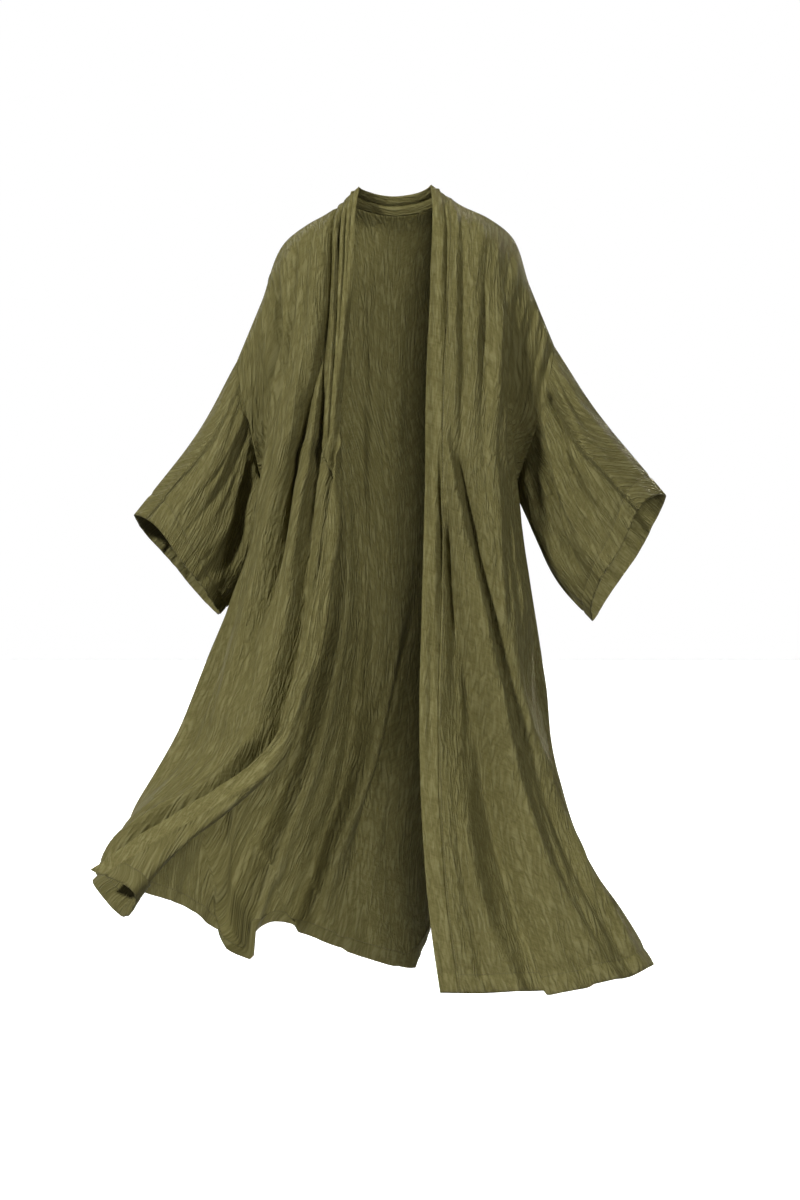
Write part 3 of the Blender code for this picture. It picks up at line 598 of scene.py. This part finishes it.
def crinkle_push(name, across, along, levels):
    """How far the cloth's own crinkles push each point of a sheet out."""
    width = across[:, -1:]
    share = across / width
    if name == "back":
        share = leaning(share, levels)
    u = share * width.mean()
    u = u - u.min()
    push = np.zeros(across.shape)
    for number, (pitch, length, height) in enumerate(CRINKLES):
        noise = lattice_noise(u / (pitch * MM), along / (length * MM), CRINKLE_SEEDS[name] + number)
        push += height * MM * noise * ease(levels / TOP_FADE)[:, None]
    return push


def hem_drop(name, across, levels):
    """How far each point of a sheet hangs lower than its section tables put it."""
    fall = ease((levels - DROP_START) / (1 - DROP_START))[:, None]
    total = np.zeros(across.shape)
    for place, near, far, near_drop, far_drop, square in DROPS.get(name, ()):
        away = across - place * across[:, -1:]
        reach = away / (np.where(away < 0, near, far) * MM)
        drop = near_drop + (far_drop - near_drop) * np.clip((1 + reach) / 2, 0, 1)
        end = np.abs(np.clip(reach, -DROP_REACH, DROP_REACH)) ** square
        total += drop * MM * fall * np.exp(-end)
    return total


def add_folds(grid, name, side, levels, fade, turned=0.0):
    """Push a sheet's points out along its face where the tables put folds, crinkle it and lower its hem."""
    across = distances(grid, 1) - turned
    push = fold_push(name, across, levels) + crinkle_push(name, across, distances(grid, 0), levels)
    top = TOP_SHARE + (1 - TOP_SHARE) * ease(levels / TOP_FADE)
    moved = grid + normals_of(grid, side) * (push * fade * top[:, None])[:, :, None]
    moved[:, :, 2] -= hem_drop(name, across, levels)
    return moved


def seam_fade(shape, first_edge):
    """How much of the folds is left at each point: none at the last edge, nor at the first if asked."""
    share = np.linspace(0, 1, shape[1])[None, :]
    fade = ease((1 - share) / SEAM_FADE) * np.ones(shape)
    return fade * ease(share / SEAM_FADE) if first_edge else fade


def line_depth(count, at, depth, half):
    """Depths over a run of cells, deepest at one of them, for a line of stitching."""
    return depth * np.exp(-((np.arange(count) - at) / half) ** 2)


def hem_depth(rows, cells, depth, half):
    """Depths down a sheet that press the line where its hem, the given number of cells deep, is sewn."""
    return line_depth(rows, rows - 1 - cells, depth, half)


def press(grid, side, row_depth=None, column_depth=None):
    """Sink rows or columns of a sheet by the given depths in millimetres, for seams and stitching."""
    depth = np.zeros(grid.shape[:2])
    if row_depth is not None:
        depth += np.asarray(row_depth)[:, None]
    if column_depth is not None:
        depth += np.asarray(column_depth)[None, :]
    return grid - normals_of(grid, side) * (depth * MM)[:, :, None]


def turned_hem(grid, side, cells):
    """The hem turned up inside a sheet: its last cells moved in by the wall and a gap."""
    return (grid - normals_of(grid, side) * (WALL + LAYER_GAP) * MM)[-cells - 1:]


def slot_of(name):
    """Material slot of a piece, by the first word of its name."""
    return SLOTS[name.split("_")[0]]


def stitches_along(points, normals):
    """Corners of a row of stitches along a line on the cloth, eight to a stitch."""
    lengths = np.concatenate(([0.0], np.cumsum(np.linalg.norm(np.diff(points, axis=0), axis=1))))
    starts = np.arange(STITCH_PITCH * MM, lengths[-1] - STITCH_PITCH * MM, STITCH_PITCH * MM)

    def read(values, at):
        return np.stack([np.interp(at, lengths, values[:, axis]) for axis in range(3)], axis=1)

    first, last = read(points, starts), read(points, starts + STITCH_LENGTH * MM)
    up = unit(read(normals, starts))
    aside = unit(np.cross(last - first, up)) * STITCH_WIDTH * MM / 2
    rise = up * STITCH_WIDTH * MM / 2
    ring = (aside + rise, aside - rise, -aside - rise, rise - aside)
    return np.stack([end + way for end in (first, last) for way in ring], axis=1)


def add_stitches(name, lines, thread):
    """The stitches of one piece: rows along the given lines of points and normals."""
    corners = np.concatenate([stitches_along(points, normals) for points, normals in lines])
    quads = (np.arange(len(corners)) * STITCH_CORNERS)[:, None, None] + np.array(STITCH_FACES)[None]
    mesh = bpy.data.meshes.new(name + "_stitches")
    mesh.from_pydata(corners.reshape(-1, 3).tolist(), [], quads.reshape(-1, 4).tolist())
    mesh.materials.append(thread)
    piece = bpy.data.objects.new(name + "_stitches", mesh)
    bpy.context.scene.collection.objects.link(piece)
    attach(piece, "root")
    return piece


def row_line(grid, side, row, lift):
    """Points and normals of one row of a sheet, lifted off it by millimetres, for a line of stitches."""
    normals = normals_of(grid, side)
    return (grid + normals * lift * MM)[row], normals[row]


def column_line(grid, side, column, lift):
    """Points and normals of one column of a sheet, lifted off it by millimetres, for a line of stitches."""
    normals = normals_of(grid, side)
    return (grid + normals * lift * MM)[:, column], normals[:, column]


def hem_lines(grid, side, cells):
    """Lines of stitches along the top of a hem, on the sheet's face and on the hem inside it."""
    return [row_line(grid, side, -cells - 1, lift) for lift in (FACE_LIFT, HEM_LIFT)]


def add_mesh(name, grid, side, weave, cloths, closed=False):
    """One sewn piece as a thin shell. weave holds the cloth's own coordinates in metres at each point."""
    rows, columns = grid.shape[:2]
    corners = np.arange(rows * columns).reshape(rows, columns)
    if closed:
        corners = np.concatenate((corners, corners[:, :1]), axis=1)
    quads = np.stack((corners[:-1, :-1], corners[1:, :-1], corners[1:, 1:], corners[:-1, 1:]), axis=-1)
    quads = quads.reshape(-1, 4)
    if side < 0:
        quads = quads[:, ::-1]
    slot = slot_of(name)
    mesh = bpy.data.meshes.new(name)
    mesh.from_pydata(grid.reshape(-1, 3).tolist(), [], quads.tolist())
    mesh.shade_smooth()
    attribute = mesh.attributes.new("cloth", "FLOAT_VECTOR", "POINT")
    attribute.data.foreach_set("vector", weave.reshape(-1).astype(np.float32))
    mesh.materials.append(cloths[slot])
    piece = bpy.data.objects.new(name + "_cloth", mesh)
    bpy.context.scene.collection.objects.link(piece)
    solidify = piece.modifiers.new("wall", "SOLIDIFY")
    solidify.thickness = WALLS[slot] * MM
    solidify.offset = 0.0
    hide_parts(name)
    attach(piece, "root")


def weave_of(grid, number, turned=0.0):
    """Weave coordinates of a sheet: metres across, metres along, and a number that sets pieces apart."""
    across = distances(grid, 1) - turned
    u = across / across[:, -1:] * across[:, -1].mean()
    v = distances(grid, 0)
    return np.stack((u, v, np.full(u.shape, float(number))), axis=-1)


def hang_straight(weave, grid, levels):
    """Turn the weave of the upper body so that its crinkles hang straight down."""
    straight = np.abs(grid[:, :, 0] - grid[0, :1, 0]) * STRAIGHT_PITCH
    keep = ease((levels - STRAIGHT_UNTIL) / STRAIGHT_BLEND)[:, None]
    weave[:, :, 0] = weave[:, :, 0] * keep + straight * (1 - keep)
    return weave


def chevron(weave, ridge):
    """Turn a sleeve's weave so that its crinkles meet in a chevron along a line, more so near the cuff."""
    u, v, number = np.moveaxis(weave, -1, 0)
    away = u - ridge * u.max()
    turn = np.radians(np.where(away < 0, *CHEVRON_TURNS)) * ease(v / v.max())
    across = np.hypot(away, CHEVRON_SOFT * MM) * np.cos(turn) - v * np.sin(turn)
    sides = CHEVRON_SHIFT * np.tanh(away / (CHEVRON_SOFT * MM))
    return np.stack((across, v * np.cos(turn), number + sides), axis=-1)


def node(tree, kind, **values):
    """A shader node with its properties and input values."""
    made = tree.nodes.new(kind)
    for key, value in values.items():
        if key in made.inputs:
            made.inputs[key].default_value = value
        else:
            setattr(made, key, value)
    return made


def gauze_material(name, tint, crinkle):
    """Crinkled gauze: streaky crinkles along the warp, a fine weave, mottled olive colour, with painted shade
    in the crinkles' grooves and painted light on their ridges.
    """
    material = bpy.data.materials.new(name)
    material.use_nodes = True
    tree = material.node_tree
    shader = tree.nodes["Principled BSDF"]
    shader.inputs["Roughness"].default_value = CLOTH_ROUGHNESS
    shader.inputs["Specular IOR Level"].default_value = CLOTH_SPECULAR
    link = tree.links.new
    weave = node(tree, "ShaderNodeAttribute", attribute_name="cloth")

    def noise(scale, detail, roughness, distortion):
        scaled = node(tree, "ShaderNodeVectorMath", operation="MULTIPLY")
        scaled.inputs[1].default_value = scale
        link(weave.outputs["Vector"], scaled.inputs[0])
        made = node(tree, "ShaderNodeTexNoise", Scale=1.0, Detail=detail, Roughness=roughness,
                    Distortion=distortion)
        link(scaled.outputs[0], made.inputs["Vector"])
        return made.outputs["Fac"]

    def math_node(operation, first, second):
        made = node(tree, "ShaderNodeMath", operation=operation)
        for socket, value in zip(made.inputs, (first, second)):
            if isinstance(value, (int, float)):
                socket.default_value = value
            else:
                link(value, socket)
        return made.outputs[0]

    def valleys(pattern):
        """Thin valleys where a pattern crosses its middle, between rounded ridges."""
        middle = math_node("SUBTRACT", pattern, NOISE_MIDDLE)
        steep = math_node("MULTIPLY", math_node("ABSOLUTE", middle, 0.0), VALLEY_GAIN)
        return math_node("MINIMUM", steep, 1.0)

    def blend(mix):
        """Sum of the patterns by their weights."""
        total = None
        for key, weight in mix.items():
            part = math_node("MULTIPLY", patterns[key], weight)
            total = part if total is None else math_node("ADD", total, part)
        return total

    patterns = {key: noise(*values) for key, values in PATTERNS.items()}
    patterns["fine"] = valleys(patterns["fine"])

    # Colour from the crinkle patterns as well as the relief: painted shade in their grooves and painted light
    # on their ridges, with the cloth's own slubs and mottling
    ramp = node(tree, "ShaderNodeValToRGB")
    stops = ramp.color_ramp.elements
    for stop, (place, colour) in zip(stops, RAMP_ENDS):
        stop.position = place
        stop.color = (*[part * tint for part in colour], 1)
    stops.new(RAMP_MIDDLE[0]).color = (*[part * tint for part in RAMP_MIDDLE[1]], 1)
    link(blend(PAINTED_SHADE_AND_TONE_MIX), ramp.inputs["Fac"])
    link(ramp.outputs["Color"], shader.inputs["Base Color"])

    relief = node(tree, "ShaderNodeBump", Strength=1.0, Distance=crinkle * MM)
    link(blend(RELIEF_MIX), relief.inputs["Height"])
    link(relief.outputs["Normal"], shader.inputs["Normal"])
    return material


def thread_material():
    """Dull sewing thread, a shade deeper than the cloth: its own colour, darkened further as painted shade
    for the groove along each stitched line.
    """
    material = bpy.data.materials.new("thread")
    material.use_nodes = True
    shader = material.node_tree.nodes["Principled BSDF"]
    shader.inputs["Base Color"].default_value = (*OLIVE_PAINTED_SHADE_AND_THREAD, 1)
    shader.inputs["Roughness"].default_value = THREAD_ROUGHNESS
    return material


def sew_back(back, right, left, levels):
    """The back moved to meet both fronts along the side seams and shoulders, and the seam of its neck."""
    columns = np.linspace(0, 1, back.shape[1])
    for front, column, near in ((right, 0, columns), (left, -1, 1 - columns)):
        seam = back[:, column].copy()
        seam[ARMHOLE_CELLS:] = front[ARMHOLE_CELLS:, -1]
        back = back + (seam - back[:, column])[:, None] * ease(1 - near / SIDE_BLEND)[None, :, None]
    neck = np.concatenate((right[:1, BAND_CELLS], np.array(NECK_SEAM) * MM, left[:1, BAND_CELLS]))
    neck_row = spread(neck, neck_places)
    top_row = np.concatenate((right[0, :BAND_CELLS:-1], neck_row, left[0, BAND_CELLS + 1:]))
    return back + (top_row - back[0])[None] * ease(1 - levels / TOP_BLEND)[:, None, None], neck_row


def build_front(name, grid, side, weave, cloths):
    """One front: its side of the neckband, its panel, and its hem."""
    pressed = press(grid, side, row_depth=hem_depth(len(grid), HEM_CELLS, *HEM_PRESS),
                    column_depth=line_depth(grid.shape[1], BAND_CELLS, *BAND_PRESS))
    panel = pressed[:, BAND_CELLS:]
    add_mesh("band_" + name, pressed[:, :BAND_CELLS + 1], side,
             weave[:, :BAND_CELLS + 1] + BAND_WEAVE, cloths)
    lines = hem_lines(panel, side, HEM_CELLS) + [column_line(panel, side, BAND_STITCH_COLUMN, FACE_LIFT)]
    sewn = add_stitches("front_" + name, lines, cloths["thread"])
    add_mesh("front_" + name, panel, side, weave[:, BAND_CELLS:], cloths)
    add_mesh("hem_" + name, turned_hem(panel, side, HEM_CELLS), side,
             weave[-HEM_CELLS - 1:, BAND_CELLS:] + HEM_WEAVE, cloths)


def build_back(grid, weave, cloths):
    """The back and its hem."""
    pressed = press(grid, 1, row_depth=hem_depth(len(grid), HEM_CELLS, *HEM_PRESS))
    sewn = add_stitches("back", hem_lines(pressed, 1, HEM_CELLS), cloths["thread"])
    add_mesh("back", pressed, 1, weave, cloths)
    add_mesh("hem_back", turned_hem(pressed, 1, HEM_CELLS), 1, weave[-HEM_CELLS - 1:] + HEM_WEAVE, cloths)


def build_collar(right, left, neck_row, cloths):
    """The neckband round the back neck, from its top edge down to its seam."""
    top = np.concatenate((right[:1, 0], np.array(NECK_TOP) * MM, left[:1, 0]))
    rise = spread(top, neck_places) - neck_row
    collar = np.stack([neck_row + rise * share for share in np.linspace(1, 0, BAND_CELLS + 1)])
    collar = press(collar, 1, row_depth=line_depth(BAND_CELLS + 1, COLLAR_CREASE_ROW, *COLLAR_CREASE))
    weave = weave_of(np.swapaxes(collar, 0, 1), WEAVES["band_neck"])
    add_mesh("band_neck", collar, 1, np.swapaxes(weave, 0, 1), cloths)


def build_sleeve(name, front_edge, back_edge, sections, side, cloths):
    """One sleeve from its armhole to the cuff, and the hem inside the cuff."""
    piece = "sleeve_" + name
    grid, along = sleeve_grid(front_edge[:ARMHOLE_CELLS + 1], back_edge[:ARMHOLE_CELLS + 1], sections)
    looped = np.concatenate((grid, grid[:, :1]), axis=1)
    share = np.linspace(0, 1, looped.shape[1])
    fade = ease(along / ARMHOLE_FADE)[:, None]
    fade = fade * (ease(share / SLEEVE_TOP_FADE) * ease((1 - share) / SLEEVE_TOP_FADE))[None, :]
    folded = add_folds(looped, piece, side, along, fade)
    weave = chevron(weave_of(looped, WEAVES[piece]), CHEVRON[name])
    pressed = press(folded, side, row_depth=hem_depth(len(along), CUFF_CELLS, *CUFF_PRESS))
    sewn = add_stitches(piece, hem_lines(pressed, side, CUFF_CELLS), cloths["thread"])
    add_mesh(piece, pressed[:, :-1], side, weave[:, :-1], cloths, closed=True)
    add_mesh("cuff_hem_" + name, turned_hem(pressed, side, CUFF_CELLS)[:, :-1], side,
             weave[-CUFF_CELLS - 1:, :-1] + HEM_WEAVE, cloths, closed=True)


def build_jacket():
    """All the sewn pieces: fronts, back, collar and sleeves."""
    cloths = {slot: gauze_material(slot, tint, crinkle) for slot, (tint, crinkle) in CLOTHS.items()}
    cloths["thread"] = thread_material()

    knots, levels = body_levels()
    right = sheet_grid(FRONT_RIGHT, knots, levels, front_places)
    left = sheet_grid(FRONT_LEFT, knots, levels, front_places)
    back = sheet_grid(BACK, knots, levels, back_places)
    turned = turned_cloth(left, -1)

    right_weave = hang_straight(weave_of(right, WEAVES["front_right"]), right, levels)
    left_weave = hang_straight(weave_of(left, WEAVES["front_left"], turned), left, levels)
    back_weave = hang_straight(weave_of(back, WEAVES["back"]), back, levels)
    width = back_weave[:, :, 0].max()
    back_weave[:, :, 0] = width * leaning(back_weave[:, :, 0] / width, levels)

    right = add_folds(right, "front_right", 1, levels, seam_fade(right.shape[:2], False))
    left = add_folds(left, "front_left", -1, levels, seam_fade(left.shape[:2], False), turned)
    back, neck_row = sew_back(back, right, left, levels)
    back_fade = seam_fade(back.shape[:2], True) * ease(levels / SEAM_FADE)[:, None]
    back = add_folds(back, "back", 1, levels, back_fade)

    build_front("right", right, 1, right_weave, cloths)
    build_front("left", left, -1, left_weave, cloths)
    build_back(back, back_weave, cloths)
    build_collar(right, left, neck_row, cloths)
    build_sleeve("right", right[:, -1], back[:, 0], SLEEVE_RIGHT, -1, cloths)
    build_sleeve("left", left[:, -1], back[:, -1], SLEEVE_LEFT, 1, cloths)


def add_sun(name, turn, height, power, softness):
    """A large soft light far away, turned from the camera's side and raised by the given degrees."""
    sun = bpy.data.objects.new(name, bpy.data.lights.new(name, "SUN"))
    sun.data.energy = power
    sun.data.angle = math.radians(softness)
    sun.rotation_euler = (math.radians(90 - height), 0, math.radians(turn))
    bpy.context.scene.collection.objects.link(sun)
    return sun


def link_light(light, receivers):
    """Let a light fall on the given objects alone."""
    lit = bpy.data.collections.new(light.name)
    for receiver in receivers:
        lit.objects.link(receiver)
    light.light_linking.receiver_collection = lit


def light_inside():
    """A frontal light for the inside of the back, in place of the main light, as the open front shows it."""
    meshes = [made for made in bpy.context.scene.collection.objects if made.type == "MESH"]
    link_light(add_sun(*INSIDE_LIGHT), [made for made in meshes if made.name in INSIDE_PIECES])
    link_light(bpy.data.objects["left"], [made for made in meshes if made.name not in INSIDE_PIECES])


def build_floor():
    """Pale floor that glows a little and throws no light on the jacket."""
    corners = [(-FLOOR_REACH, -FLOOR_REACH), (FLOOR_REACH, -FLOOR_REACH),
               (FLOOR_REACH, FLOOR_REACH), (-FLOOR_REACH, FLOOR_REACH)]
    mesh = bpy.data.meshes.new("floor")
    mesh.from_pydata([(x, y, FLOOR_LEVEL) for x, y in corners], [], [(0, 1, 2, 3)])
    floor = bpy.data.objects.new("floor", mesh)
    paint = bpy.data.materials.new("floor")
    paint.use_nodes = True
    shader = paint.node_tree.nodes["Principled BSDF"]
    shader.inputs["Base Color"].default_value = FLOOR_COLOR
    shader.inputs["Roughness"].default_value = FLOOR_ROUGHNESS
    shader.inputs["Emission Color"].default_value = WHITE
    shader.inputs["Emission Strength"].default_value = FLOOR_GLOW
    mesh.materials.append(paint)
    bpy.context.scene.collection.objects.link(floor)
    floor.visible_diffuse = False


def build_surroundings():
    """Dim warm ambient light, with white behind the jacket for the camera."""
    world = bpy.data.worlds.new("studio")
    world.use_nodes = True
    tree = world.node_tree
    ambient = tree.nodes["Background"]
    ambient.inputs["Color"].default_value = AMBIENT_COLOR
    ambient.inputs["Strength"].default_value = AMBIENT
    backdrop = node(tree, "ShaderNodeBackground", Color=WHITE, Strength=1.0)
    path = node(tree, "ShaderNodeLightPath")
    mix = node(tree, "ShaderNodeMixShader")
    tree.links.new(path.outputs["Is Camera Ray"], mix.inputs[0])
    tree.links.new(ambient.outputs[0], mix.inputs[1])
    tree.links.new(backdrop.outputs[0], mix.inputs[2])
    tree.links.new(mix.outputs[0], tree.nodes["World Output"].inputs["Surface"])
    bpy.context.scene.world = world


def build_camera():
    """The camera of the photograph, level and straight in front."""
    scene = bpy.context.scene
    camera = bpy.data.objects.new("camera", bpy.data.cameras.new("camera"))
    camera.data.sensor_fit = "VERTICAL"
    camera.data.sensor_height = SENSOR
    camera.data.lens = SENSOR * LENS_DISTANCE / (PHOTO_HEIGHT * PIXEL * MM)
    camera.data.clip_end = CLIP_END
    camera.location = (AIM[0], AIM[1] - LENS_DISTANCE, AIM[2])
    camera.rotation_euler = (math.radians(90), 0, 0)
    scene.collection.objects.link(camera)
    scene.camera = camera
    scene.view_settings.view_transform = "Standard"


build_floor()
build_surroundings()
for light in LIGHTS:
    add_sun(*light)
build_camera()
build_jacket()
light_inside()
